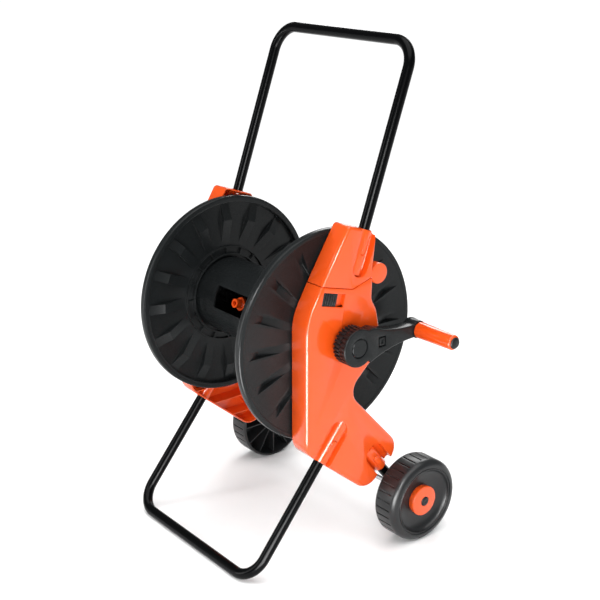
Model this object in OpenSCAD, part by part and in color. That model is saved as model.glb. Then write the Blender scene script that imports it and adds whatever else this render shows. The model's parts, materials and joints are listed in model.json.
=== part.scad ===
// Two-wheeled garden hose reel cart with a folding push handle.
// +X is the axle direction, towards the crank. +Y is towards the user and the wheels. +Z is up.
// Inner modules are drawn about the middle of the drum; place() stands the cart on z = 0.

/* [Drum] */
// Diameter of the drum's two flanges
flange_d = 400; // [340:1:480]
// Thickness of a flange at its rim
flange_t = 15.5; // [14:0.5:20]
// Distance between the middles of the two flanges
flange_gap = 309; // [250:1:370]
// Outside diameter of the drum's core
core_d = 150; // [125:1:180]
// Wall of the core
core_wall = 3; // [2:0.5:5]
// Number of pressed ridges in each flange
ridge_count = 16; // [8:1:18]
// Width of one ridge
ridge_w = 20; // [12:1:26]
// Diameter of the drum's journals
journal_d = 24; // [20:1:30]

/* [Side frames] */
// Depth of a side frame along the axle direction
side_depth = 42; // [39:1:55]
// Wall thickness of the side frames
side_wall = 3; // [2.5:0.5:4]
// Gap between a flange and the side frame beside it
side_gap = 2.7; // [2:0.1:8]
// Height of the drum's axis above the floor
axis_h = 431; // [420:1:520]

/* [Tubes] */
// Diameter of the steel tubes
tube_d = 20; // [18:0.5:22]
// Wall of the steel tubes
tube_wall = 1.2; // [1:0.1:2]
// Radius of the tube bends, at the middle of the tube
bend_r = 48; // [35:1:70]
// Height of the handle bar above the drum's axis
bar_up = 514.5; // [420:0.5:640]
// Lean of the handle towards the user, in degrees
handle_lean = 19.5; // [14:0.5:24]
// Lean of the front leg away from the user, in degrees
leg_lean = 39.2; // [36:0.1:42]

/* [Wheels] */
// Diameter of the wheels
wheel_d = 165.4; // [150:0.2:190]
// Width of the wheels at the tread
wheel_w = 48; // [40:1:60]
// Distance of the axle behind the drum's axis
axle_back = 160; // [150:1:175]
// Diameter of the axle rod
axle_d = 12; // [10:0.5:14]
// Number of grooves in the tread
tread_count = 32; // [16:1:40]

/* [Crank] */
// Distance from the drum's axis to the grip
crank_r = 145; // [110:1:190]
// Angle of the crank above the horizontal, in degrees
crank_tilt = 1; // [0:1:10]
// Diameter of the ribbed crank hub
crank_hub_d = 71; // [60:1:80]
// Length of the crank's grip
grip_len = 88; // [70:1:130]
// Diameter of the grip at its root
grip_d = 32; // [26:1:36]

/* [Lock] */
// Travel of the lock buttons
lock_travel = 14; // [8:1:15]

/* [Fits] */
// Radial clearance of a turning fit
run_gap = 0.06; // [0.03:0.01:0.1]
// Radial clearance of a plugged or pressed fit
plug_gap = 0.1; // [0.05:0.05:0.3]
// Clear space between pieces that move past each other
move_gap = 0.6; // [0.4:0.1:1]

/* [Hidden] */
$fn = 64;
flange_r = flange_d / 2;
core_r = core_d / 2;
journal_r = journal_d / 2;
tube_r = tube_d / 2;
wheel_r = wheel_d / 2;
axle_r = axle_d / 2;
hub_r = crank_hub_d / 2;

// Stations along X, from the middle of the cart outwards
flange_in = flange_gap / 2 - flange_t / 2;
flange_out = flange_gap / 2 + flange_t / 2;
side_in = flange_out + side_gap;
side_out = side_in + side_depth;
tube_x = side_in + 25.6;
wheel_in = side_out + 4;
wheel_out = wheel_in + wheel_w;
wheel_crown = 6;
cap_x = wheel_out + wheel_crown;
hub_in = side_out + 8;
hub_out = hub_in + 31;
crank_face = hub_out + 2;
arm_t = 24;
grip_in = crank_face + 1;
grip_out = grip_in + grip_len;

// Heights and depths in the side view, from the drum's axis
bar_down = axis_h - tube_r;
axle_z = wheel_r - axis_h;
leg_end_z = -165;
leg_end_y = 6.2;
leg_bar_y = leg_end_y - (bar_down + leg_end_z) * tan(leg_lean);
handle_end = [29, 122];
strut_lean = 39;
strut_u = [sin(strut_lean), -cos(strut_lean)];
strut_len = 132;
strut_tail = 14;
pivot = [80.3, 113];
pivot_r = 19;
pin_r = 5;
web_t = 3;
rim_w = 12;
lug_split = side_in + 18;
pin_end = side_out - 4;
bush_r = journal_r + 4;
screw_r = 2;
screw_head_r = 3.6;
// Tilt of the inlet branch forward from straight down
inlet_dir = 35;
inlet_screw_at = [for (a = [60, 180, 300]) 26.5 * [cos(270 - inlet_dir + a), sin(270 - inlet_dir + a)]];

// Overall extents, used to centre the cart over its origin
x_max = grip_out + 4;
x_min = -(cap_x + 1);
y_max = axle_back + wheel_r;
y_min = leg_bar_y - tube_r;
mid_x = (x_max + x_min) / 2;
mid_y = (y_max + y_min) / 2;

frame_orange = "OrangeRed";
drum_grey = "DimGray";
tube_black = "Black";

// ---- Helpers ----

function unit(v) = v / norm(v);

// Points of one rounded corner at b, between the points a and c
function corner(a, b, c, r, n = 8) =
    let (u = unit(a - b), v = unit(c - b), half = acos(u * v) / 2,
         m = b + unit(u + v) * r / sin(half),
         s = b + u * r / tan(half) - m, e = b + v * r / tan(half) - m,
         a0 = atan2(s[1], s[0]), turn = atan2(s[0] * e[1] - s[1] * e[0], s * e))
    [for (i = [0 : n]) m + r * [cos(a0 + turn * i / n), sin(a0 + turn * i / n)]];

// A closed outline from [y, z, radius] corners, with every corner rounded
function rounded(p) = [for (i = [0 : len(p) - 1])
    let (k = len(p), a = p[(i + k - 1) % k], b = p[i], c = p[(i + 1) % k])
    each (b[2] == 0 ? [[b[0], b[1]]]
        : corner([a[0], a[1]], [b[0], b[1]], [c[0], c[1]], b[2]))];

// Moves the drawing from the drum's middle to the cart's place on the floor
module place() translate([-mid_x, -mid_y, axis_h]) children();

// Right-hand and left-hand copies of a piece
module side(s) place() {
    if (s > 0) children();
    else mirror([1, 0, 0]) children();
}

// Extrudes an outline drawn in Y and Z along X
module along_x(x0, x1) translate([x0, 0, 0]) rotate([90, 0, 90]) linear_extrude(x1 - x0) children();

// Cylinder along X at (y, z)
module rod_x(x0, x1, r, at = [0, 0]) translate([x0, at[0], at[1]]) rotate([0, 90, 0])
    cylinder(h = x1 - x0, r = r);

// Turns a [radius, x] outline about the X direction at (y, z)
module turn_x(at = [0, 0]) translate([0, at[0], at[1]]) rotate([90, 0, 90]) rotate_extrude($fn = 96)
    children();

// Cylinder in the side plane: starts at p and runs len along the unit direction d
module rod_yz(x, p, d, len, r) translate([x, p[0], p[1]]) rotate([atan2(-d[0], d[1]), 0, 0])
    cylinder(h = len, r = r);

// Tube bent into a U: legs up from z = 0 at x = +-half, crossing at z = h
module u_tube(half, h, r) {
    for (s = [-1, 1]) {
        translate([s * half, 0, 0]) cylinder(h = h - bend_r, r = r);
        translate([s * (half - bend_r), 0, h - bend_r]) rotate([90, 0, 0])
            rotate_extrude(angle = 90, start = s > 0 ? 0 : 90) translate([bend_r, 0]) circle(r = r);
    }
    translate([bend_r - half, 0, h]) rotate([0, 90, 0]) cylinder(h = 2 * (half - bend_r), r = r);
}

module hollow_u(half, h) difference() {
    u_tube(half, h, tube_r);
    union() {
        u_tube(half, h, tube_r - tube_wall);
        for (s = [-1, 1]) translate([s * half, 0, -1]) cylinder(h = 2, r = tube_r - tube_wall);
    }
}

// ---- Side view outlines ----

// Unit direction and inner end of each tube that plugs into a side piece
leg_d = [-sin(leg_lean), -cos(leg_lean)];
handle_d = [sin(handle_lean), cos(handle_lean)];
axle_at = [axle_back, axle_z];
strut_end = axle_at - strut_u * strut_len;

// Lower side frame, from the front shoulder round to the hinge
arm_n = [cos(strut_lean), sin(strut_lean)];
arm_end = axle_at - strut_u * 78;
arm_front = arm_end - arm_n * 57 + strut_u * 3;
arm_back = arm_end + arm_n * 54 + strut_u * 3;
side_front = -87.4;
side_pts = rounded([[side_front, 54.7, 100], [side_front, -194, 26], [arm_front[0], arm_front[1], 24],
    [arm_back[0], arm_back[1], 27], [13, -102, 30], [93, -29, 20], [77, 46, 20], [65, 68, 20],
    [66.3, 98, 2], [60, 108, 2], [18, 95, 20], [-53.5, 113, 0.5]]);
socket_pts = rounded([[-53, 114.2, 0.5], [18, 96.4, 20], [62, 110, 4], [70, 112, 2], [66.3, 129, 1.5],
    [69, 151, 60], [73.3, 191, 4], [8.3, 213, 5]]);

module side_outline() polygon(side_pts);
module socket_outline() polygon(socket_pts);

// Slot with a round inner end around a tube's axis, from its inner end outwards
module slot_shape(p, d, len, r0, r1) {
    n = [d[1], -d[0]];
    q = p + d * len;
    middle = p + n * (r1 - r0) / 2;
    r = (r0 + r1) / 2;
    polygon(concat([for (a = [0 : 15 : 180]) middle - r * (n * cos(a) + d * sin(a))],
        [q + n * r1, q - n * r0]));
}

recess_floor = side_out - 15;
socket_r = tube_r + 4.4;

// Shell with a closed outer face, rim wall and stiffening ribs, open on its inner side
module shell(step, first, last) {
    along_x(side_out - side_wall, side_out) children();
    along_x(side_in, side_out) difference() {
        children();
        offset(delta = -side_wall) children();
    }
    along_x(side_in + 6, side_out) intersection() {
        children();
        for (z = [first : step : last]) translate([-200, z]) square([400, 2.2]);
    }
}

// ---- Side frames ----

lock_at = [-34.5, 86.5];
lock_tilt = -14;
lock_w = 34;
lock_h = 23;
lock_depth = 9;
lock_floor = side_out - lock_depth;
lock_leg_w = 4;
spring_x = lock_floor - side_wall - 5;
spring_y = lock_leg_w / 2;
spring_len = lock_travel + 8;
spring_end = 0.1;

// Places children in the tilted frame of the lock button
module at_lock() translate([0, lock_at[0], lock_at[1]]) rotate([lock_tilt, 0, 0]) children();

module side_frame() {
    difference() {
        union() {
            difference() {
                union() {
                    shell(38, -280, 90) side_outline();
                    intersection() {
                        along_x(side_in, side_out) side_outline();
                        union() {
                            along_x(recess_floor - side_wall, side_out)
                                slot_shape([leg_end_y, leg_end_z] + leg_d * 14, leg_d, 80, 20, 28);
                            along_x(recess_floor - side_wall, side_out)
                                slot_shape(strut_end + strut_u * 16, strut_u, 60, 24, 24);
                            rod_x(side_in, side_out, 34);
                            at_lock() translate([lock_floor - side_wall, -25, -16])
                                cube([lock_depth + side_wall, 38 + lock_travel, 32]);
                        }
                    }
                }
                along_x(recess_floor, side_out + 1)
                    slot_shape([leg_end_y, leg_end_z] + leg_d * 14, leg_d, 80, 16.5, 24);
                along_x(recess_floor, side_out + 1)
                    slot_shape(strut_end + strut_u * 16, strut_u, 70, 20, 20);
            }
            intersection() {
                along_x(side_in, side_out) side_outline();
                rod_yz(tube_x, [leg_end_y, leg_end_z] - leg_d * 3, leg_d, 120, socket_r);
            }
            rod_yz(tube_x, strut_end - strut_u * 3, strut_u, strut_len - 76, socket_r);
            intersection() {
                along_x(side_in, side_out) side_outline();
                rod_yz(tube_x, strut_end - strut_u * 3, strut_u, 80, socket_r);
            }
            // hinge lug, in the inner layer only
            rod_x(side_in, lug_split, pivot_r, pivot);
            along_x(side_in, lug_split) hull() {
                translate(pivot - [4, 8]) circle(r = 9, $fn = 32);
                translate([55, 70]) circle(r = 9, $fn = 32);
            }
        }
        // outer layer kept clear of the handle's lug
        rod_x(lug_split, side_out + 1, pivot_r + move_gap, pivot);
        rod_x(side_in - 1, lug_split + 1, pin_r + plug_gap, pivot);
        rod_yz(tube_x, [leg_end_y, leg_end_z], leg_d, 140, tube_r + plug_gap);
        rod_yz(tube_x, strut_end, strut_u, 100, tube_r + plug_gap);
        rod_x(side_in - 1, side_out + 1, bush_r + plug_gap);
        // slot for the lock button and its spring
        at_lock() translate([lock_floor, -lock_w / 2 - 0.5, -lock_h / 2 - 0.5])
            cube([lock_depth + 1, lock_w + lock_travel + 1.5, lock_h + 1]);
        at_lock() translate([lock_floor - side_wall - 1, -lock_leg_w / 2 - 0.5, -4.5])
            cube([side_wall + 2, lock_leg_w + lock_travel + 1.5, 9]);
    }
    // rib that the lock button's spring pushes against
    at_lock() translate([spring_x - 4, spring_y + spring_len, -6])
        cube([lock_floor - spring_x + 3.5, 2.5, 12]);
}

module side_frame_right() color(frame_orange) side(1) side_frame();
module side_frame_left() color(frame_orange) side(-1) difference() {
    side_frame();
    for (at = inlet_screw_at) rod_x(side_out - inlet_screw_len, side_out + 1, screw_r + plug_gap, at);
}

// Depth that the inlet collar's screws reach into the left side frame
inlet_screw_len = 10;

// ---- Leg, struts and axle ----

module leg_tube() color(tube_black) place()
    translate([0, leg_end_y, leg_end_z]) rotate([180 - leg_lean, 0, 0])
        hollow_u(tube_x, (bar_down + leg_end_z) / cos(leg_lean));

module strut() difference() {
    rod_yz(tube_x, strut_end, strut_u, strut_len + strut_tail, tube_r);
    rod_yz(tube_x, strut_end - strut_u, strut_u, strut_len + strut_tail + 2, tube_r - tube_wall);
    rod_x(tube_x - 20, tube_x + 20, axle_r + plug_gap, axle_at);
}
module strut_right() color(tube_black) side(1) strut();
module strut_left() color(tube_black) side(-1) strut();

axle_end = cap_x - 6;
module axle_rod() color("DarkSlateGray") place() rod_x(-axle_end, axle_end, axle_r, axle_at);

// Plastic rings that hold each wheel off its strut
module axle_spacers() color("Black") for (s = [-1, 1]) side(s) difference() {
    rod_x(tube_x + tube_r + 0.1, wheel_in + 1.6, 10, axle_at);
    rod_x(tube_x, wheel_in + 10, axle_r + plug_gap, axle_at);
}

// Push-on caps on the axle ends
cap_r = 9;
module axle_caps() color("Black") for (s = [-1, 1]) side(s) difference() {
    turn_x(axle_at) polygon([[0, cap_x - 14], [cap_r, cap_x - 14], [cap_r, cap_x], [cap_r - 2, cap_x + 1],
        [0, cap_x + 1]]);
    rod_x(cap_x - 20, axle_end + 0.2, axle_r + plug_gap, axle_at);
}

// ---- Wheels ----

bowl_r = 64;
dish_r = 37;
dish_x = cap_x - 15;

// Curve of the bowl in the wheel's outer face, from the hub seat out to the groove
function bowl(n = 8) = [for (i = [0 : n]) [dish_r + (bowl_r - dish_r) * sin(90 * i / n),
    dish_x + (cap_x - 1 - dish_x) * (1 - cos(90 * i / n))]];
// Rounded shoulder from the tread to the outer face
function shoulder(n = 6) = [for (i = [0 : n]) [wheel_r - 13 + 13 * cos(90 * i / n),
    wheel_out - 7 + (cap_x - wheel_out + 7) * sin(90 * i / n)]];

wheel_bush_r = axle_r + 3;
groove_w = 2.6;
groove_depth = 2;
module wheel() difference() {
    union() {
        turn_x(axle_at) polygon(concat(
            [[wheel_bush_r + plug_gap, wheel_in + 2], [20, wheel_in + 2], [20, dish_x - 4],
             [dish_r + 6, dish_x - 4]],
            [[bowl_r + 3, cap_x - 9], [wheel_r - 8, cap_x - 9], [wheel_r - 5, wheel_out - 8],
             [wheel_r - 5, wheel_in], [wheel_r - 3, wheel_in], [wheel_r, wheel_in + 4]],
            shoulder(), [[bowl_r + 4.5, cap_x], [bowl_r + 4.5, cap_x - 2], [bowl_r + 2, cap_x - 2],
             [bowl_r + 2, cap_x - 0.5]],
            [for (i = [8 : -1 : 0]) bowl()[i]], [[wheel_bush_r + plug_gap, dish_x]]));
        for (i = [0 : 11]) translate([0, axle_at[0], axle_at[1]]) rotate([i * 30, 0, 0])
            translate([wheel_in + 5, 19, -1.2]) cube([dish_x - wheel_in - 7, wheel_r - 23, 2.4]);
    }
    for (i = [0 : tread_count - 1]) translate([0, axle_at[0], axle_at[1]])
        rotate([i * 360 / tread_count, 0, 0])
            translate([wheel_in + 6, wheel_r - groove_depth, -groove_w / 2])
            cube([wheel_w - 15, groove_depth + 2, groove_w]);
}
module wheel_right() color(drum_grey) side(1) wheel();
module wheel_left() color(drum_grey) side(-1) wheel();

module wheel_bush() difference() {
    rod_x(wheel_in + 2, dish_x, wheel_bush_r, axle_at);
    rod_x(wheel_in, dish_x + 1, axle_r + run_gap, axle_at);
}
module wheel_bush_right() color("White") side(1) wheel_bush();
module wheel_bush_left() color("White") side(-1) wheel_bush();

module hub_cap() turn_x(axle_at) polygon([[cap_r + 0.6, dish_x], [dish_r - 3, dish_x],
    [dish_r - 2, cap_x - 7], [dish_r - 4, cap_x - 5], [cap_r + 3, cap_x - 0.5], [cap_r + 0.6, cap_x - 0.5]]);
module hub_cap_right() color(frame_orange) side(1) hub_cap();
module hub_cap_left() color(frame_orange) side(-1) hub_cap();

// ---- Handle ----

module handle_tube() color(tube_black) place()
    translate([0, handle_end[0], handle_end[1]]) rotate([-handle_lean, 0, 0])
        hollow_u(tube_x, (bar_up - handle_end[1]) / cos(handle_lean));

module handle_socket() difference() {
    union() {
        difference() {
            union() {
                shell(30, 128, 190) socket_outline();
                intersection() {
                    along_x(side_in, side_out) socket_outline();
                    along_x(recess_floor - side_wall, side_out)
                        slot_shape(handle_end + handle_d * 12, handle_d, 90, 20, 30);
                }
            }
            along_x(recess_floor, side_out + 1)
                slot_shape(handle_end + handle_d * 12, handle_d, 90, 16.5, 20);
        }
        intersection() {
            along_x(side_in, side_out) socket_outline();
            rod_yz(tube_x, handle_end - handle_d * 3, handle_d, 110, socket_r);
        }
        rod_x(lug_split + move_gap, side_out, pivot_r, pivot);
        along_x(lug_split + move_gap, side_out) hull() {
            translate(pivot + [-4, 2]) circle(r = 12, $fn = 32);
            translate([58, 124]) circle(r = 7, $fn = 32);
        }
    }
    rod_x(side_in - 1, lug_split + move_gap, pivot_r + move_gap, pivot);
    rod_x(lug_split, pin_end + 0.4, pin_r + run_gap, pivot);
    rod_yz(tube_x, handle_end, handle_d, 140, tube_r + plug_gap);
}
module handle_socket_right() color(frame_orange) side(1) handle_socket();
module handle_socket_left() color(frame_orange) side(-1) handle_socket();

// Pin fixed in the frame's lug, with a head behind the lug
module hinge_pin() {
    rod_x(side_in - 2, pin_end, pin_r, pivot);
    rod_x(side_in - 2, side_in, pin_r + 3, pivot);
}
module hinge_pin_right() color("Silver") side(1) hinge_pin();
module hinge_pin_left() color("Silver") side(-1) hinge_pin();

// ---- Lock buttons ----

// Ribbed button, with a leg through the floor of its recess to the spring behind
module lock_button() at_lock() {
    translate([lock_floor + 0.3, -lock_w / 2, -lock_h / 2]) cube([lock_depth - 2.3, lock_w, lock_h]);
    translate([spring_x - 3.5, -lock_leg_w / 2, -4]) cube([lock_floor + 1 - spring_x + 3.5, lock_leg_w, 8]);
    for (i = [0 : 5]) translate([side_out - 2.1, -lock_w / 2 + 3 + i * 5.2, -lock_h / 2 + 2])
        cube([2.1, 2.4, lock_h - 4]);
}
module lock_button_right() color("Black") side(1) lock_button();
module lock_button_left() color("Black") side(-1) lock_button();

// Return spring of a lock button: a wire swept along a helix that stands on z = 0
coil_r = 3;
wire_r = 0.45;
coil_turns = 8;
coil_steps = 12;
wire_sides = 6;
function coil_ring(i, rise) = let (a = 360 * i / coil_steps) [for (k = [0 : wire_sides - 1])
    let (b = 360 * k / wire_sides, r = coil_r + wire_r * cos(b))
    [r * cos(a), r * sin(a), wire_r + rise * i / (coil_turns * coil_steps) + wire_r * sin(b)]];
module coil(len) {
    n = coil_turns * coil_steps;
    points = [for (i = [0 : n]) each coil_ring(i, len - 2 * wire_r)];
    walls = [for (i = [0 : n - 1], k = [0 : wire_sides - 1])
        let (m = (k + 1) % wire_sides, p = i * wire_sides)
        [p + k, p + k + wire_sides, p + m + wire_sides, p + m]];
    first = [for (k = [0 : wire_sides - 1]) k];
    last = [for (k = [wire_sides - 1 : -1 : 0]) n * wire_sides + k];
    polyhedron(points, concat(walls, [first, last]));
}
module lock_spring() at_lock() translate([spring_x, spring_y + spring_end, 0]) rotate([-90, 0, 0])
    coil(spring_len - 2 * spring_end);
module lock_spring_right() color("Silver") side(1) lock_spring();
module lock_spring_left() color("Silver") side(-1) lock_spring();

// ---- Drum bearings and water inlet ----

module drum_bush() difference() {
    union() {
        rod_x(side_in - 1.5, side_out + 2, bush_r);
        rod_x(side_out + 0.1, side_out + 2, bush_r + 5);
    }
    rod_x(side_in - 5, side_out + 5, journal_r + run_gap);
}
module drum_bush_right() color("White") side(1) drum_bush();
module drum_bush_left() color("White") side(-1) drum_bush();

inlet_x0 = side_out + 2.1;
collar_t = 5;
branch_r = 13;
branch_bore = 9;
inlet_mid = inlet_x0 + collar_t + 0.5 + branch_r;
// Distance of each shaft seal from the middle of the branch
seal_off = 12;
inlet_x1 = inlet_mid + seal_off + 8;
water_r = 6;

// Foot of the spigot in the branch, and its seal beside the shoulder
nipple_z = 24;
nipple_seal_z = 26;

// Places children with +Z along the inlet branch, which points down and forward
module at_branch() translate([inlet_mid, 0, 0]) rotate([180 - inlet_dir, 0, 0]) children();

module inlet_body() color(drum_grey) side(-1) difference() {
    union() {
        rod_x(inlet_x0, inlet_x1, journal_r + 5);
        at_branch() cylinder(h = 42, r = branch_r);
    }
    rod_x(inlet_x0 - 1, inlet_x1 - 4, journal_r + run_gap);
    at_branch() cylinder(h = 43, r = branch_bore);
}
module inlet_collar() color(drum_grey) side(-1) difference() {
    rod_x(inlet_x0, inlet_x0 + collar_t, 32);
    rod_x(inlet_x0 - 1, inlet_x0 + collar_t + 1, journal_r + 5 + plug_gap);
    for (at = inlet_screw_at) rod_x(inlet_x0 - 1, inlet_x0 + collar_t + 1, screw_r + plug_gap, at);
}
module inlet_screws() color("Silver") side(-1) for (at = inlet_screw_at) {
    rod_x(side_out - inlet_screw_len + 1, inlet_x0 + collar_t, screw_r, at);
    rod_x(inlet_x0 + collar_t, inlet_x0 + collar_t + 2, screw_head_r, at);
}

nipple_r = 8.5;
module inlet_nipple() color(frame_orange) side(-1) at_branch() translate([0, 0, nipple_z]) difference() {
    union() {
        cylinder(h = 18, r = branch_bore - plug_gap);
        translate([0, 0, 18]) cylinder(h = 5, r = 14);
        translate([0, 0, 23]) cylinder(h = 22, r = nipple_r);
    }
    translate([0, 0, -1]) cylinder(h = 60, r = 5.5);
    translate([0, 0, nipple_seal_z]) rotate_extrude() translate([nipple_r, 0])
        square([3, 3.2], center = true);
}
module inlet_seal() color("Black") side(-1) at_branch() translate([0, 0, nipple_z + nipple_seal_z])
    rotate_extrude() translate([nipple_r - 0.05, 0]) circle(r = 1.4);

// ---- Drum ----

web_out = flange_out - 1;
web_in = web_out - web_t;
ridge_r0 = flange_r - 96;
ridge_r1 = flange_r - 50;
ridge_r2 = flange_r - 15;

// Side profile of one ridge, from the web towards the winding space
module ridge_profile(grow, base) polygon([[ridge_r0 - grow * 3, base], [ridge_r1, flange_in + 2.6 - grow],
    [ridge_r1 + 4, flange_in + 2.6 - grow], [ridge_r2 + grow, base]]);

module ridge(grow, base, w) translate([0, 0, -w / 2]) rotate([0, 0, 90]) mirror([0, 1, 0])
    linear_extrude(w) ridge_profile(grow, base);

module flange() difference() {
    union() {
        rod_x(web_in, web_out, flange_r - rim_w + 1);
        difference() {
            turn_x() polygon([[flange_r - rim_w, flange_in + 1], [flange_r - rim_w + 1.5, flange_in],
                [flange_r - 3, flange_in], [flange_r, flange_in + 3], [flange_r, flange_out - 3],
                [flange_r - 3, flange_out], [flange_r - rim_w + 1.5, flange_out],
                [flange_r - rim_w, flange_out - 1]]);
            turn_x() polygon([[flange_r - 8, flange_in - 1], [flange_r - 3, flange_in - 1],
                [flange_r - 4, flange_out - 4], [flange_r - 7, flange_out - 4]]);
        }
        for (i = [0 : ridge_count - 1]) rotate([i * 360 / ridge_count, 0, 0])
            ridge(0, web_in + 0.5, ridge_w);
        difference() {
            rod_x(flange_in + 3, web_out, core_r + 8);
            rod_x(flange_in, web_in, core_r + 5);
        }
        rod_x(flange_in - 12, web_out, journal_r + 6);
    }
    for (i = [0 : ridge_count - 1]) rotate([i * 360 / ridge_count, 0, 0])
        ridge(-2.4, web_out + 1, ridge_w - 4.4);
    rod_x(flange_in - 20, flange_out + 1, journal_r + plug_gap);
    for (at = core_screw_at) rod_x(flange_in, flange_out + 1, screw_r + 0.2, at);
}
module flange_right() color(drum_grey) side(1) flange();
module flange_left() color(drum_grey) side(-1) flange();

// Core tube in two half shells, with end rings that the flange screws pull against
window_a = 162;
split_gap = 0.05;
core_screw_at = [for (a = [0 : 60 : 300]) (core_r - core_wall - 5) * [cos(a), sin(a)]];
module core_half(s) difference() {
    union() {
        difference() {
            rod_x(-web_in, web_in, core_r);
            rod_x(-web_in - 1, web_in + 1, core_r - core_wall);
        }
        for (x = [-web_in, web_in - 14], at = core_screw_at) rod_x(x, x + 14, 6.5, at);
    }
    for (x = [-web_in - 1, web_in - 15], at = core_screw_at) rod_x(x, x + 16, screw_r + 0.2, at);
    translate([-flange_gap, -core_d, s > 0 ? split_gap - core_d : -split_gap])
        cube([2 * flange_gap, 2 * core_d, core_d]);
    if (s > 0) rotate([window_a, 0, 0]) translate([-95, core_r - 30, -22]) cube([120, 60, 44]);
}
module core_upper() color(drum_grey) place() core_half(1);
module core_lower() color(drum_grey) place() core_half(-1);

module core_screws() color("Silver") for (s = [-1, 1]) side(s) for (at = core_screw_at) {
    rod_x(web_in - 13, web_out, screw_r, at);
    rod_x(web_out, web_out + 1.6, screw_head_r, at);
}

// Journal on the crank side, bored at its end for the crank's screw
shaft_end = hub_out - 4;
crank_screw_r = 3;
crank_screw_len = 20;
module crank_shaft() color("Gray") place() difference() {
    rod_x(flange_in - 14, shaft_end, journal_r);
    rod_x(shaft_end - crank_screw_len, shaft_end + 1, crank_screw_r + plug_gap);
}

// Hollow journal on the inlet side, which brings the water to the middle of the core
outlet_x = -45;
port_r = 4;
module water_shaft() color("Gray") place() difference() {
    union() {
        rod_x(-(inlet_x1 - 5), -(flange_in - 14), journal_r);
        rod_x(-(flange_in - 14), outlet_x + 12, journal_r - 3);
    }
    rod_x(-(inlet_mid + water_r), outlet_x + 8, water_r);
    for (turn = [0, 90]) rotate([turn, 0, 0]) translate([-inlet_mid, 0, 0])
        cylinder(h = 3 * journal_r, r = port_r, center = true);
    rotate([window_a, 0, 0]) translate([outlet_x, 0, 0]) rotate([-90, 0, 0]) cylinder(h = 20, r = water_r);
    for (x = [-1, 1]) turn_x()
        translate([journal_r - 1.6, -inlet_mid + x * seal_off - 1.4]) square([3, 2.8]);
}
module shaft_seals() color("Black") place() for (x = [-1, 1])
    turn_x() translate([journal_r - 1.5, -inlet_mid + x * seal_off - 1.2]) square([1.5, 2.4]);

// Elbow, nut and quick connector that feed the hose, inside the core's window
module at_outlet() rotate([window_a, 0, 0]) translate([outlet_x, 0, 0]) rotate([-90, 0, 0]) children();
module outlet_elbow() color(drum_grey) place() difference() {
    union() {
        rod_x(outlet_x - 12, outlet_x + 11, journal_r + 1);
        at_outlet() cylinder(h = 36, r = 10);
    }
    rod_x(outlet_x - 20, outlet_x + 13, journal_r - 3 + plug_gap);
    at_outlet() cylinder(h = 40, r = water_r);
}
module outlet_nut() color(drum_grey) place() at_outlet() translate([0, 0, 26]) difference() {
    cylinder(h = 9, r = 14, $fn = 8);
    translate([0, 0, -1]) cylinder(h = 20, r = 10 + plug_gap);
}
module outlet_connector() color(frame_orange) place() at_outlet() translate([0, 0, 36.1]) difference() {
    union() {
        cylinder(h = 14, r = 13);
        translate([0, 0, 14]) cylinder(h = 14, r = nipple_r);
    }
    translate([0, 0, -1]) cylinder(h = 40, r = 5.5);
}

// ---- Crank ----

module crank_frame() place() rotate([crank_tilt, 0, 0]) children();

// Outline of the crank arm in the side view, from the hub to the end boss
arm_boss_r = 17;
module arm_outline() {
    circle(r = hub_r);
    polygon(concat([for (i = [0 : 8]) let (t = i / 8) [22 + (crank_r - 22) * t,
        -13.5 - (hub_r - 8 - 13.5) * pow(1 - t, 2.2)]],
        [for (i = [8 : -1 : 0]) let (t = i / 8) [22 + (crank_r - 22) * t,
        13.5 + (hub_r - 8 - 13.5) * pow(1 - t, 2.2)]]));
    translate([crank_r, 0]) circle(r = arm_boss_r);
}

module crank_hub() color(drum_grey) crank_frame() difference() {
    union() {
        turn_x() polygon([[0, hub_in], [hub_r - 3, hub_in], [hub_r - 1, hub_in + 2],
            [hub_r - 1, crank_face - arm_t + 8], [0, crank_face - arm_t + 8]]);
        for (i = [0 : 27]) rotate([i * 360 / 28, 0, 0]) translate([hub_in + 1, hub_r - 3, -1.8])
            cube([hub_out - hub_in - 16, 3, 3.6]);
    }
    rod_x(hub_in - 1, hub_out - 3.9, journal_r + plug_gap);
}

ring_r = 19;
latch_y = 53;
module crank_arm() color(drum_grey) crank_frame() difference() {
    union() {
        along_x(crank_face - arm_t + 8.1, crank_face) arm_outline();
        along_x(crank_face - arm_t, crank_face) difference() {
            arm_outline();
            circle(r = hub_r + 1);
        }
        rod_x(crank_face - arm_t - 4, crank_face, arm_boss_r, [crank_r, 0]);
    }
    turn_x() polygon([[ring_r - 2.2, crank_face - 3], [ring_r, crank_face - 3], [ring_r, crank_face + 1],
        [ring_r - 2.2, crank_face + 1]]);
    rod_x(crank_face - arm_t, crank_face + 1, journal_r + plug_gap);
    rod_x(crank_face - 3, crank_face + 1, ring_r - 1);
    rod_x(crank_face - arm_t - 5, crank_face + 1, spindle_r + plug_gap, [crank_r, 0]);
    translate([crank_face - 6, latch_y - 9, -10]) cube([7, 18, 20]);
}
module crank_cap() color(drum_grey) crank_frame() rod_x(crank_face - 3, crank_face, ring_r - 2.2);
module crank_screw() color("Silver") crank_frame() {
    rod_x(shaft_end + 0.2, crank_face - 3.1, 7);
    rod_x(shaft_end + 1 - crank_screw_len, shaft_end + 1, crank_screw_r);
}
module crank_latch() color(drum_grey) crank_frame() translate([crank_face - 6, latch_y - 7.5, -8.5])
    cube([5.5, 15, 17]);

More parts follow.
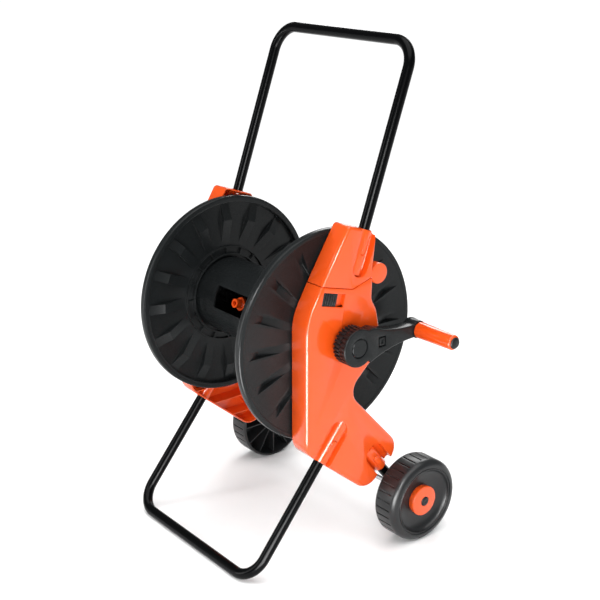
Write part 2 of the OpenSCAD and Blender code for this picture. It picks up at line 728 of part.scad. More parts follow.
spindle_r = 5;
module grip_spindle() color("Silver") crank_frame() {
    rod_x(crank_face - arm_t - 3, grip_out - 8, spindle_r, [crank_r, 0]);
    rod_x(crank_face - arm_t - 7, crank_face - arm_t - 4, spindle_r + 3, [crank_r, 0]);
    rod_x(crank_face - arm_t - 5, crank_face - arm_t - 2, spindle_r, [crank_r, 0]);
    rod_x(grip_out - 8, grip_out - 6, spindle_r + 2.4, [crank_r, 0]);
}
module crank_grip() color(frame_orange) crank_frame() difference() {
    turn_x([crank_r, 0]) polygon([[0, grip_in], [grip_d / 2 - 1.5, grip_in], [grip_d / 2, grip_in + 3],
        [grip_d / 2 - 2, grip_out - 3], [grip_d / 2 - 4, grip_out], [0, grip_out]]);
    rod_x(grip_in - 1, grip_out - 8 + 0.5, spindle_r + run_gap, [crank_r, 0]);
    rod_x(grip_out - 8.5, grip_out + 1, grip_d / 2 - 5, [crank_r, 0]);
}
module grip_plug() color("Black") crank_frame() difference() {
    turn_x([crank_r, 0]) polygon([[0, grip_out - 8.4], [grip_d / 2 - 5.1, grip_out - 8.4],
        [grip_d / 2 - 5.1, grip_out + 1], [grip_d / 2 - 9, grip_out + 4], [0, grip_out + 4]]);
    rod_x(grip_out - 9, grip_out - 5.5, spindle_r + 3, [crank_r, 0]);
}

// ---- Draw the chosen node, or everything ----

side_frame_right();
side_frame_left();
leg_tube();
strut_right();
strut_left();
axle_rod();
axle_spacers();
axle_caps();
drum_bush_right();
drum_bush_left();
inlet_body();
inlet_collar();
inlet_nipple();
inlet_seal();
inlet_screws();
handle_tube();
handle_socket_right();
handle_socket_left();
hinge_pin_right();
hinge_pin_left();
lock_button_right();
lock_button_left();
lock_spring_right();
lock_spring_left();
flange_right();
flange_left();
core_upper();
core_lower();
core_screws();
crank_shaft();
water_shaft();
shaft_seals();
outlet_elbow();
outlet_connector();
outlet_nut();
crank_hub();
crank_arm();
crank_cap();
crank_screw();
crank_latch();
grip_spindle();
crank_grip();
grip_plug();
wheel_right();
wheel_left();
wheel_bush_right();
wheel_bush_left();
hub_cap_right();
hub_cap_left();
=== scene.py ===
"""Garden hose reel cart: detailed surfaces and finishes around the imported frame.

Each class below is one sub-assembly. Sizes are millimetres measured from the middle of the drum,
with x along the axles towards the crank, y towards the user and z up. Workbench turns them into
metres in the frame's own axes.
"""

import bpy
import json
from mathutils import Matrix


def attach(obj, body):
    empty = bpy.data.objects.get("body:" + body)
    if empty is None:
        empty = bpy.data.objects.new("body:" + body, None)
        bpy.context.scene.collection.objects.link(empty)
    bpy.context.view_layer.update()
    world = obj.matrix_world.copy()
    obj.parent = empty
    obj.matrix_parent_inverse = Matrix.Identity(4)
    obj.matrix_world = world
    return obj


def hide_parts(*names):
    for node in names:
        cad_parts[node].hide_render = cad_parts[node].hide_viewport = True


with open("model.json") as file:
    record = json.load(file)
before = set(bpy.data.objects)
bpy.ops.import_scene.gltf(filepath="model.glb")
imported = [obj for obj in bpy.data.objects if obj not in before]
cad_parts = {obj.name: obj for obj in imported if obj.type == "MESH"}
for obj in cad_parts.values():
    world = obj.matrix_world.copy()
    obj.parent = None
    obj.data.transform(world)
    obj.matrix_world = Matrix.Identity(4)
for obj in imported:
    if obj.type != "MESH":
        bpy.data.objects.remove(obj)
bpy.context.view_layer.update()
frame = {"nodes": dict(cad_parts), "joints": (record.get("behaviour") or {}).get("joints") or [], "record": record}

import json
import logging
import math
from collections.abc import Callable
from dataclasses import dataclass
from enum import Enum

import bmesh
import bpy
from mathutils import Vector

log = logging.getLogger("hose_reel_cart")

MM = 0.001
JOINTS = {joint["name"]: joint for joint in frame["joints"]}
DRUM_MIDDLE = Vector(JOINTS["drum_spin"]["pos_m"])

Point = tuple[float, float]
Corner = tuple[float, float, float]


class Side(Enum):
    """The crank side is RIGHT, the water inlet side is LEFT."""

    RIGHT = 1
    LEFT = -1

    @property
    def word(self) -> str:
        """The side's name as the frame's nodes use it."""
        return self.name.lower()


def place(x: float, y: float, z: float) -> Vector:
    """Turns millimetres from the drum's middle into a point of the frame.

    Args:
        x: distance along the axles.
        y: distance towards the user.
        z: height.

    Returns:
        The point in metres.
    """
    return DRUM_MIDDLE + Vector((x, y, z)) * MM


def arc(a: Point, b: Point, c: Point, radius: float, steps: int = 6) -> list[Point]:
    """Rounds the corner at b between a and c.

    Args:
        a: the corner before.
        b: the corner to round.
        c: the corner after.
        radius: radius of the rounding.
        steps: number of straight pieces in the arc.

    Returns:
        The points of the arc, from the side of a to the side of c.
    """
    if not radius:
        return [b]
    before = (Vector(a) - Vector(b)).normalized()
    after = (Vector(c) - Vector(b)).normalized()
    half = before.angle(after) / 2
    middle = Vector(b) + (before + after).normalized() * radius / math.sin(half)
    first = Vector(b) + before * radius / math.tan(half) - middle
    last = Vector(b) + after * radius / math.tan(half) - middle
    turn = math.atan2(first.x * last.y - first.y * last.x, first.dot(last))
    start = math.atan2(first.y, first.x)
    angles = [start + turn * i / steps for i in range(steps + 1)]
    return [(middle.x + radius * math.cos(t), middle.y + radius * math.sin(t)) for t in angles]


def rounded(corners: list[Corner], steps: int = 6) -> list[Point]:
    """Rounds every corner of a closed outline.

    Args:
        corners: (y, z, radius) of each corner.
        steps: number of straight pieces in each arc.

    Returns:
        The outline's points.
    """
    points: list[Point] = []
    for i, (y, z, radius) in enumerate(corners):
        before, after = corners[i - 1], corners[(i + 1) % len(corners)]
        points += arc(before[:2], (y, z), after[:2], radius, steps)
    return points


def inset(points: list[Point], gap: float) -> list[Point]:
    """Moves every side of a closed outline inwards.

    Args:
        points: the outline, in either direction.
        gap: how far each side moves.

    Returns:
        The smaller outline.
    """
    area = sum(a[0] * b[1] - b[0] * a[1] for a, b in zip(points, points[1:] + points[:1]))
    turn = math.copysign(gap, area)
    moved: list[Point] = []
    for i, point in enumerate(points):
        before = (Vector(point) - Vector(points[i - 1])).normalized()
        after = (Vector(points[(i + 1) % len(points)]) - Vector(point)).normalized()
        n1, n2 = Vector((-before.y, before.x)), Vector((-after.y, after.x))
        moved.append(tuple(Vector(point) + (n1 + n2) * turn / (1 + n1.dot(n2))))
    return moved


def rectangle(y0: float, y1: float, z0: float, z1: float) -> list[Point]:
    """Corners of an upright rectangle in the side view."""
    return [(y0, z0), (y1, z0), (y1, z1), (y0, z1)]


def soft_rectangle(half_y: float, half_z: float, middle: float, radius: float, steps: int) -> list[Point]:
    """Outline of a rectangle with rounded corners, its middle on the y axis at a distance."""
    corners = rectangle(middle - half_y, middle + half_y, -half_z, half_z)
    return rounded([(y, z, radius) for y, z in corners], steps)


def slot(p: Vector, d: Vector, length: float, left: float, right: float, steps: int = 12) -> list[Point]:
    """Outline of a slot with a round inner end, running from p along d.

    Args:
        p: middle of the slot's inner end.
        d: unit direction towards the open end.
        length: length from p to the open end.
        left: width on the left of the line.
        right: width on the right of the line.
        steps: number of straight pieces in the round end.

    Returns:
        The outline's points.
    """
    n = Vector((d.y, -d.x))
    middle, radius, far = p + n * (right - left) / 2, (left + right) / 2, p + d * length
    turns = [math.pi * i / steps for i in range(steps + 1)]
    points = [middle - radius * (n * math.cos(t) + d * math.sin(t)) for t in turns]
    return [tuple(q) for q in points + [far + n * right, far - n * left]]


class Workbench:
    """Modelling steps used on every piece, all made with Blender's own operators."""

    @staticmethod
    def clear() -> None:
        """Goes to object mode with nothing selected."""
        if bpy.context.object and bpy.context.object.mode != "OBJECT":
            bpy.ops.object.mode_set(mode="OBJECT")
        bpy.ops.object.select_all(action="DESELECT")

    @staticmethod
    def take(piece: bpy.types.Object) -> None:
        """Makes a piece the only one selected, and the active one."""
        Workbench.clear()
        piece.select_set(True)
        bpy.context.view_layer.objects.active = piece

    @staticmethod
    def added(name: str) -> bpy.types.Object:
        """Names the piece that was just added and gives it the frame's own axes."""
        piece = bpy.context.object
        piece.name = piece.data.name = name
        bpy.ops.object.transform_apply(location=True, rotation=True, scale=True)
        return piece

    @staticmethod
    def draw(name: str, start: Vector, steps: list[Corner]) -> bpy.types.Object:
        """Draws a flat face point by point and leaves it selected in edit mode.

        Args:
            name: name of the new piece.
            start: the first point, in metres.
            steps: the way from each point to the next, in millimetres.

        Returns:
            The new flat piece.
        """
        Workbench.clear()
        bpy.ops.mesh.primitive_plane_add(size=MM, location=start)
        piece = Workbench.added(name)
        bpy.ops.object.mode_set(mode="EDIT")
        bpy.ops.mesh.select_all(action="SELECT")
        bpy.ops.mesh.merge(type="CENTER")
        for step in steps:
            bpy.ops.mesh.extrude_vertices_move(TRANSFORM_OT_translate={"value": Vector(step) * MM})
        bpy.ops.mesh.select_all(action="SELECT")
        bpy.ops.mesh.edge_face_add()
        return piece

    @staticmethod
    def trace(name: str, points: list[Point], x: float) -> bpy.types.Object:
        """Draws the flat face of an outline in the side view.

        Args:
            name: name of the new piece.
            points: (y, z) of the outline.
            x: where the face stands along the axles.

        Returns:
            The new flat piece.
        """
        steps = [(0, b[0] - a[0], b[1] - a[1]) for a, b in zip(points, points[1:])]
        piece = Workbench.draw(name, place(x, *points[0]), steps)
        bpy.ops.object.mode_set(mode="OBJECT")
        return piece

    @staticmethod
    def plate(name: str, points: list[Point], x0: float, x1: float) -> bpy.types.Object:
        """Makes a closed plate of an outline between two stations along the axles."""
        piece = Workbench.trace(name, points, x0)
        bpy.ops.object.mode_set(mode="EDIT")
        bpy.ops.mesh.select_all(action="SELECT")
        bpy.ops.mesh.extrude_region_move(TRANSFORM_OT_translate={"value": ((x1 - x0) * MM, 0, 0)})
        return Workbench.right_way_out(piece)

    @staticmethod
    def rod(name: str, a: Vector, b: Vector, radius: float, sides: int = 48) -> bpy.types.Object:
        """Makes a closed round bar from a to b, both in metres, with a radius in millimetres."""
        Workbench.clear()
        turn = Vector((0, 0, 1)).rotation_difference(b - a).to_euler()
        bpy.ops.mesh.primitive_cylinder_add(
            vertices=sides, radius=radius * MM, depth=(b - a).length, location=(a + b) / 2, rotation=turn
        )
        return Workbench.added(name)

    @staticmethod
    def disc(name: str, x0: float, x1: float, radius: float, at: Point = (0, 0)) -> bpy.types.Object:
        """Makes a closed round bar along the axles between two stations."""
        return Workbench.rod(name, place(x0, *at), place(x1, *at), radius, sides=64)

    @staticmethod
    def turned(name: str, profile: list[Point], at: Point = (0, 0), steps: int = 96) -> bpy.types.Object:
        """Turns a closed (x, radius) profile about a line along the axles.

        Args:
            name: name of the new piece.
            profile: (x, radius) points of the closed profile.
            at: (y, z) of the line.
            steps: number of steps round the full turn.

        Returns:
            The turned piece.
        """
        start = place(profile[0][0], at[0], at[1] + profile[0][1])
        paths = [(b[0] - a[0], 0, b[1] - a[1]) for a, b in zip(profile, profile[1:])]
        piece = Workbench.draw(name, start, paths)
        bpy.ops.mesh.delete(type="ONLY_FACE")
        bpy.ops.mesh.select_all(action="SELECT")
        bpy.ops.mesh.spin(steps=steps, angle=2 * math.pi, center=place(0, *at), axis=(1, 0, 0))
        bpy.ops.mesh.select_all(action="SELECT")
        bpy.ops.mesh.remove_doubles(threshold=0.02 * MM)
        return Workbench.right_way_out(piece)

    @staticmethod
    def right_way_out(piece: bpy.types.Object) -> bpy.types.Object:
        """Turns every face of a closed piece outwards."""
        Workbench.take(piece)
        bpy.ops.object.mode_set(mode="EDIT")
        bpy.ops.mesh.select_all(action="SELECT")
        bpy.ops.mesh.normals_make_consistent(inside=False)
        bpy.ops.object.mode_set(mode="OBJECT")
        return piece

    @staticmethod
    def round_edges(
        piece: bpy.types.Object, chosen: Callable[[Vector, Vector], bool], radius: float, segments: int = 4
    ) -> bpy.types.Object:
        """Bevels the edges that a rule picks.

        Args:
            piece: the piece to work on.
            chosen: says from an edge's two ends, in millimetres from the drum's middle, if it is picked.
            radius: width of the bevel in millimetres.
            segments: number of steps across the bevel.

        Returns:
            The same piece.
        """
        Workbench.take(piece)
        bpy.ops.object.mode_set(mode="EDIT")
        bpy.ops.mesh.select_mode(type="EDGE")
        bpy.ops.mesh.select_all(action="DESELECT")
        mesh = bmesh.from_edit_mesh(piece.data)
        for edge in mesh.edges:
            a, b = ((v.co - DRUM_MIDDLE) / MM for v in edge.verts)
            if chosen(a, b):
                edge.select_set(True)
        bmesh.update_edit_mesh(piece.data)
        bpy.ops.mesh.bevel(offset=radius * MM, segments=segments, profile=0.5, affect="EDGES")
        bpy.ops.mesh.select_mode(type="VERT")
        bpy.ops.object.mode_set(mode="OBJECT")
        return piece

    @staticmethod
    def combine(piece: bpy.types.Object, others: list[bpy.types.Object], how: str) -> bpy.types.Object:
        """Cuts other closed pieces out of a piece, or melts them into it, and clears tiny edges.

        Args:
            piece: the piece to work on.
            others: the closed pieces to use up, which don't overlap one another when how is DIFFERENCE.
            how: DIFFERENCE, UNION or INTERSECT.

        Returns:
            The same piece.
        """
        speck = 0.004 * MM
        for other in others:
            Workbench.take(piece)
            modifier = piece.modifiers.new(how.lower(), "BOOLEAN")
            modifier.operation, modifier.solver, modifier.object = how, "EXACT", other
            bpy.ops.object.modifier_apply(modifier=modifier.name)
            bpy.data.objects.remove(other)
            bpy.ops.object.mode_set(mode="EDIT")
            bpy.ops.mesh.select_all(action="SELECT")
            bpy.ops.mesh.remove_doubles(threshold=speck)
            bpy.ops.mesh.dissolve_degenerate(threshold=speck)
            bpy.ops.object.mode_set(mode="OBJECT")
        return piece

    @staticmethod
    def join(pieces: list[bpy.types.Object]) -> bpy.types.Object:
        """Joins pieces into the first one."""
        Workbench.take(pieces[0])
        for piece in pieces:
            piece.select_set(True)
        if len(pieces) > 1:
            bpy.ops.object.join()
        return pieces[0]

    @staticmethod
    def twin(piece: bpy.types.Object, name: str) -> bpy.types.Object:
        """Copies a piece with its own mesh and leaves the copy selected in edit mode."""
        Workbench.take(piece)
        bpy.ops.object.duplicate(linked=False)
        twin = bpy.context.object
        twin.name = twin.data.name = name
        bpy.ops.object.mode_set(mode="EDIT")
        bpy.ops.mesh.select_all(action="SELECT")
        return twin

    @staticmethod
    def copy(piece: bpy.types.Object, name: str, turn: float, at: Point = (0, 0)) -> bpy.types.Object:
        """Copies a piece and turns the copy about a line along the axles."""
        twin = Workbench.twin(piece, name)
        bpy.ops.transform.rotate(value=-turn, orient_axis="X", center_override=place(0, *at))
        bpy.ops.object.mode_set(mode="OBJECT")
        return twin

    @staticmethod
    def ring(piece: bpy.types.Object, count: int, at: Point = (0, 0), first: float = 0) -> bpy.types.Object:
        """Repeats a piece evenly round a line along the axles, as one piece."""
        turns = [first + 2 * math.pi * i / count for i in range(count)]
        copies = [Workbench.copy(piece, f"{piece.name}_{i}", turn, at) for i, turn in enumerate(turns)]
        bpy.data.objects.remove(piece)
        return Workbench.join(copies)

    @staticmethod
    def mirrored(piece: bpy.types.Object, name: str) -> bpy.types.Object:
        """Makes the left-hand twin of a right-hand piece."""
        twin = Workbench.twin(piece, name)
        bpy.ops.transform.resize(value=(-1, 1, 1), center_override=DRUM_MIDDLE)
        bpy.ops.mesh.flip_normals()
        bpy.ops.object.mode_set(mode="OBJECT")
        return twin

    @staticmethod
    def finish(
        piece: bpy.types.Object, edge: float, segments: int = 2, smooth: float = 38
    ) -> bpy.types.Object:
        """Takes the sharpness off a piece's edges and shades it.

        Args:
            piece: the piece to work on.
            edge: width of the small bevel in millimetres, or 0 for none.
            segments: steps across the bevel.
            smooth: angle in degrees up to which faces shade as one surface.

        Returns:
            The same piece.
        """
        Workbench.take(piece)
        if edge:
            modifier = piece.modifiers.new("edges", "BEVEL")
            modifier.width, modifier.segments = edge * MM, segments
            modifier.limit_method = "ANGLE"
            modifier.angle_limit = math.radians(34)
            modifier.use_clamp_overlap = False
            modifier.miter_outer = "MITER_ARC"
            bpy.ops.object.modifier_apply(modifier=modifier.name)
        bpy.ops.object.shade_smooth_by_angle(angle=math.radians(smooth))
        return piece


# ---- Finishes ----


@dataclass(frozen=True)
class Finish:
    """A moulded, painted or metal surface.

    Attributes:
        name: name of the finish.
        colour: base colour, linear.
        roughness: middle value of the roughness.
        spread: how far the roughness strays from its middle value.
        grain: size of the surface texture in millimetres.
        relief: strength of the texture's bump.
        metal: 1 for bare metal.
        coat: strength of the clear gloss on top.
        mottle: how far the colour varies.
        shine: strength of the reflections, 0.5 for plain plastic.
    """

    name: str
    colour: tuple[float, float, float]
    roughness: float
    spread: float = 0.05
    grain: float = 0.6
    relief: float = 0.05
    metal: float = 0.0
    coat: float = 0.0
    mottle: float = 0.06
    shine: float = 0.5

    def material(self) -> bpy.types.Material:
        """Builds the finish as a material, once.

        Returns:
            The material, whose pattern follows the piece's own space.
        """
        found = bpy.data.materials.get(self.name)
        if found:
            return found
        material = bpy.data.materials.new(self.name)
        material.use_nodes = True
        tree = material.node_tree
        shader = tree.nodes["Principled BSDF"]
        shader.inputs["Metallic"].default_value = self.metal
        shader.inputs["Coat Weight"].default_value = self.coat
        shader.inputs["Coat Roughness"].default_value = 0.05
        shader.inputs["Specular IOR Level"].default_value = self.shine
        space = tree.nodes.new("ShaderNodeTexCoord").outputs["Object"]
        fine = self._noise(tree, space, 1 / (self.grain * MM), 3)
        broad = self._noise(tree, space, 14, 2)
        tree.links.new(self._ramp(tree, broad, self._shades()), shader.inputs["Base Color"])
        rough = tree.nodes.new("ShaderNodeMapRange")
        rough.inputs["To Min"].default_value = max(self.roughness - self.spread, 0.02)
        rough.inputs["To Max"].default_value = self.roughness + self.spread
        tree.links.new(fine, rough.inputs["Value"])
        tree.links.new(rough.outputs["Result"], shader.inputs["Roughness"])
        bump = tree.nodes.new("ShaderNodeBump")
        bump.inputs["Strength"].default_value = self.relief
        bump.inputs["Distance"].default_value = 0.2 * MM
        tree.links.new(fine, bump.inputs["Height"])
        tree.links.new(bump.outputs["Normal"], shader.inputs["Normal"])
        return material

    def _shades(self) -> list[tuple[float, tuple[float, float, float, float]]]:
        """The darkest and lightest shade of the colour, with their places on the ramp."""
        low, high = 1 - self.mottle, 1 + self.mottle
        return [
            (0.3, (*(c * low for c in self.colour), 1)),
            (0.7, (*(min(c * high, 1) for c in self.colour), 1)),
        ]

    @staticmethod
    def _noise(
        tree: bpy.types.NodeTree, space: bpy.types.NodeSocket, scale: float, detail: float
    ) -> bpy.types.NodeSocket:
        """Adds a noise pattern and returns its value."""
        noise = tree.nodes.new("ShaderNodeTexNoise")
        noise.inputs["Scale"].default_value = scale
        noise.inputs["Detail"].default_value = detail
        tree.links.new(space, noise.inputs["Vector"])
        return noise.outputs["Fac"]

    @staticmethod
    def _ramp(tree: bpy.types.NodeTree, value: bpy.types.NodeSocket, stops: list) -> bpy.types.NodeSocket:
        """Adds a colour ramp over a value and returns its colour."""
        ramp = tree.nodes.new("ShaderNodeValToRGB")
        for element, (position, colour) in zip(ramp.color_ramp.elements, stops):
            element.position, element.color = position, colour
        tree.links.new(value, ramp.inputs["Fac"])
        return ramp.outputs["Color"]


ORANGE = Finish(
    "orange_gloss_moulding", (0.80, 0.085, 0.008), 0.22, 0.04, 0.9, 0.02, coat=0.45, mottle=0.03, shine=0.30
)
GREY = Finish("charcoal_moulding", (0.0105, 0.012, 0.0125), 0.27, 0.05, 0.7, 0.04, mottle=0.10, shine=0.16)
WHEEL = Finish("wheel_moulding", (0.014, 0.015, 0.016), 0.32, 0.07, 0.8, 0.08, mottle=0.12, shine=0.34)
BLACK = Finish("black_moulding", (0.010, 0.011, 0.012), 0.34, 0.06, 0.5, 0.07, mottle=0.10, shine=0.25)
PAINT = Finish("black_powder_coat", (0.0012, 0.0013, 0.0016), 0.24, 0.05, 0.5, 0.05, mottle=0.10, shine=0.09)
ZINC = Finish("zinc_plate", (0.55, 0.56, 0.58), 0.30, 0.10, 0.4, 0.06, metal=1.0, mottle=0.08)
NYLON = Finish("natural_nylon", (0.74, 0.72, 0.66), 0.42, 0.05, 0.8, 0.05)
RUBBER = Finish("seal_rubber", (0.008, 0.008, 0.008), 0.70, 0.08, 0.3, 0.10)

SLOT_FINISH = {
    "frame_plastic": ORANGE,
    "drum_plastic": GREY,
    "black_plastic": BLACK,
    "wheel_plastic": WHEEL,
    "tube_paint": PAINT,
    "zinc_steel": ZINC,
    "bush_nylon": NYLON,
    "seal_rubber": RUBBER,
}


def dress(piece: bpy.types.Object, finish: Finish, slot_name: str, body: str, *nodes: str) -> None:
    """Gives a finished piece its material, its body and the nodes that it stands for.

    Args:
        piece: the finished piece.
        finish: the surface that it gets.
        slot_name: the record's material slot.
        body: the body that it moves with.
        nodes: the frame's nodes that it replaces.
    """
    piece.data.materials.clear()
    piece.data.materials.append(finish.material())
    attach(piece, body)
    if nodes:
        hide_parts(*nodes)
    log.info("%s: %d faces on %s", piece.name, len(piece.data.polygons), body)


def dress_frame_nodes() -> None:
    """Gives every node that is shown as it is the finish of its slot."""
    slots = {part["node"]: part["material_slot"] for part in frame["record"]["subparts"]}
    for name, node in frame["nodes"].items():
        node.data.materials.clear()
        node.data.materials.append(SLOT_FINISH[slots[name]].material())


# ---- Sub-assemblies ----


@dataclass
class Cart:
    """Sizes that several sub-assemblies share, in millimetres."""

    flange_in: float = 146.75
    flange_out: float = 162.25
    flange_r: float = 200.0
    side_in: float = 164.95
    side_out: float = 206.95
    tube_x: float = 190.55
    tube_r: float = 10.0
    bend_r: float = 48.0
    leg_lean: float = math.radians(39.2)
    handle_lean: float = math.radians(19.5)
    strut_lean: float = math.radians(39.0)
    leg_end: Point = (6.2, -165.0)
    handle_end: Point = (29.0, 122.0)
    pivot: Point = (80.3, 113.0)
    pivot_r: float = 19.0
    axle: Point = (160.0, -348.3)
    strut_length: float = 143.0
    bar_up: float = 514.5
    bar_down: float = 421.0

    def lean(self, angle: float, down: bool = False) -> Vector:
        """Unit direction in the side view of a tube that leans by an angle."""
        up = Vector((math.sin(angle), math.cos(angle)))
        return -up if down else up

    @property
    def leg_d(self) -> Vector:
        """Direction of the leg, downwards."""
        return self.lean(self.leg_lean, down=True)

    @property
    def handle_d(self) -> Vector:
        """Direction of the handle, upwards."""
        return self.lean(self.handle_lean)

    @property
    def strut_d(self) -> Vector:
        """Direction of the wheel strut, downwards to the axle."""
        return Vector((math.sin(self.strut_lean), -math.cos(self.strut_lean)))

    @property
    def strut_end(self) -> Vector:
        """Inner end of the strut, inside the side frame."""
        return Vector(self.axle) - self.strut_d * self.strut_length


@dataclass
class Tubes(Cart):
    """The bent handle and leg tubes."""

    bend_steps: int = 20

    def bent(self, name: str, foot: Point, d: Vector, height: float) -> bpy.types.Object:
        """Bends one tube into a U by extruding and spinning its round end.

        Args:
            name: name of the new piece.
            foot: (y, z) of both ends.
            d: unit direction of the legs.
            height: distance from the ends to the middle of the crossing bar.

        Returns:
            The closed tube.
        """
        along, across = Vector((0, d.x, d.y)), Vector((1, 0, 0))
        start = place(-self.tube_x, *foot)
        Workbench.clear()
        turn = Vector((0, 0, 1)).rotation_difference(along).to_euler()
        bpy.ops.mesh.primitive_circle_add(
            vertices=40, radius=self.tube_r * MM, fill_type="NGON", location=start, rotation=turn
        )
        piece = Workbench.added(name)
        bpy.ops.object.mode_set(mode="EDIT")
        bpy.ops.mesh.select_all(action="SELECT")
        leg = (height - self.bend_r) * MM
        bar = 2 * (self.tube_x - self.bend_r) * MM
        self._pull(along * leg)
        corner = start + along * leg + across * self.bend_r * MM
        self._bend(corner, across.cross(along))
        self._pull(across * bar)
        self._bend(corner + across * bar, across.cross(along))
        self._pull(-along * leg)
        return Workbench.right_way_out(piece)

    @staticmethod
    def _pull(step: Vector) -> None:
        """Extrudes the tube's open end in a straight line."""
        bpy.ops.mesh.extrude_region_move(TRANSFORM_OT_translate={"value": step})

    def _bend(self, centre: Vector, axis: Vector) -> None:
        """Spins the tube's open end through a right angle."""
        bpy.ops.mesh.spin(steps=self.bend_steps, angle=math.pi / 2, center=centre, axis=axis)

    def build(self) -> None:
        """Makes and dresses both tubes."""
        rise = (self.bar_up - self.handle_end[1]) / math.cos(self.handle_lean)
        drop = (self.bar_down + self.leg_end[1]) / math.cos(self.leg_lean)
        handle = self.bent("handle_bow", self.handle_end, self.handle_d, rise)
        leg = self.bent("leg_bow", self.leg_end, self.leg_d, drop)
        dress(Workbench.finish(handle, 0), PAINT, "tube_paint", "handle", "handle_tube")
        dress(Workbench.finish(leg, 0), PAINT, "tube_paint", "frame", "leg_tube")


@dataclass(frozen=True)
class TubeHold:
    """How a shell holds one tube, in millimetres along the tube from its inner end.

    Attributes:
        recess: where the recess round the tube starts.
        recess_length: how far the recess runs.
        left: width of the recess on the tube's left.
        right: width of the recess on the tube's right.
        cover: length of the half-round cover over the tube's end.
        tongue: where the snap tongue starts.
        tongue_width: width of the tongue with its slit.
        tongue_length: length of the tongue with its slit.
    """

    recess: float
    recess_length: float
    left: float
    right: float
    cover: float
    tongue: float
    tongue_width: float
    tongue_length: float


LEG_HOLD = TubeHold(22, 72, 14.8, 34, cover=120, tongue=40, tongue_width=15, tongue_length=20)
STRUT_HOLD = TubeHold(14, 72, 24, 20, cover=56, tongue=26, tongue_width=14, tongue_length=20)
HANDLE_HOLD = TubeHold(12, 90, 16.5, 20, cover=110, tongue=38, tongue_width=10, tongue_length=22)


